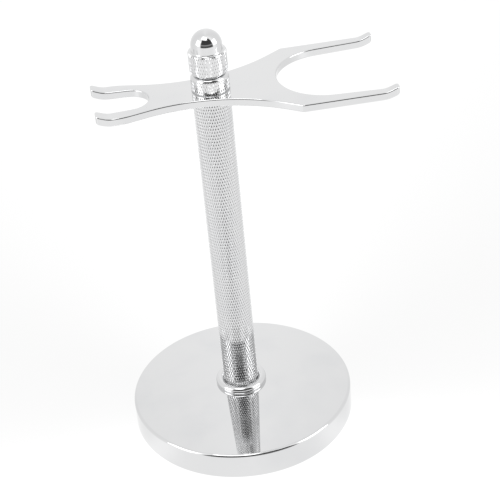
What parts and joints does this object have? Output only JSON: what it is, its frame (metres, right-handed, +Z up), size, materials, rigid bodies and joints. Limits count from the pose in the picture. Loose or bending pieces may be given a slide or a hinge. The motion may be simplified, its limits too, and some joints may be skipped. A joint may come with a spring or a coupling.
{
  "type": "razor and brush stand",
  "caption": "Free-standing chromed razor and shaving brush stand: round weighted base, knurled column, flat double-fork holder plate with upturned tips, domed knurled knob.",
  "frame": {"origin": "centre of the pad's underside, where the stand rests", "axes": "+Z up along the column, +X along the holder plate towards the wide brush fork"},
  "size_m": [0.0982, 0.08, 0.1544],
  "materials": {
    "chrome_base": "polished chrome",
    "chrome_ring": "polished chrome",
    "chrome_knurled": "chrome over fine diamond knurl",
    "chrome_plate": "polished chrome",
    "chrome_knob": "polished chrome, two knurled bands",
    "pad_rubber": "matt fine-grained rubber",
    "zinc_steel": "zinc-plated steel",
    "spring_steel": "dark spring steel",
    "nylon": "natural nylon"
  },
  "bodies": {
    "stand": {"base_disc": "chrome_base", "base_pad": "pad_rubber", "base_screw": "zinc_steel", "lock_washer": "spring_steel", "collar_ring": "chrome_ring", "column": "chrome_knurled", "top_stud": "zinc_steel"},
    "holder": {"holder_plate": "chrome_plate"},
    "knob_seat": {"knob_washer": "nylon"},
    "knob": {"knob": "chrome_knob"}
  },
  "joints": [
    {"name": "plate_swivel", "type": "hinge", "parent": "stand", "child": "holder", "pos_m": [0, 0, 0.131], "axis": [0, 0, 1], "continuous": true},
    {"name": "knob_rise", "type": "slide", "parent": "stand", "child": "knob_seat", "axis": [0, 0, 1], "range_m": [0, 0.008]},
    {"name": "knob_turn", "type": "hinge", "parent": "knob_seat", "child": "knob", "pos_m": [0, 0, 0.1337], "axis": [0, 0, 1], "range_deg": [0, 3600]}
  ],
  "couplings": [
    {"joint": "knob_turn", "follows": "knob_rise", "rad_per_m": 7854}
  ]
}
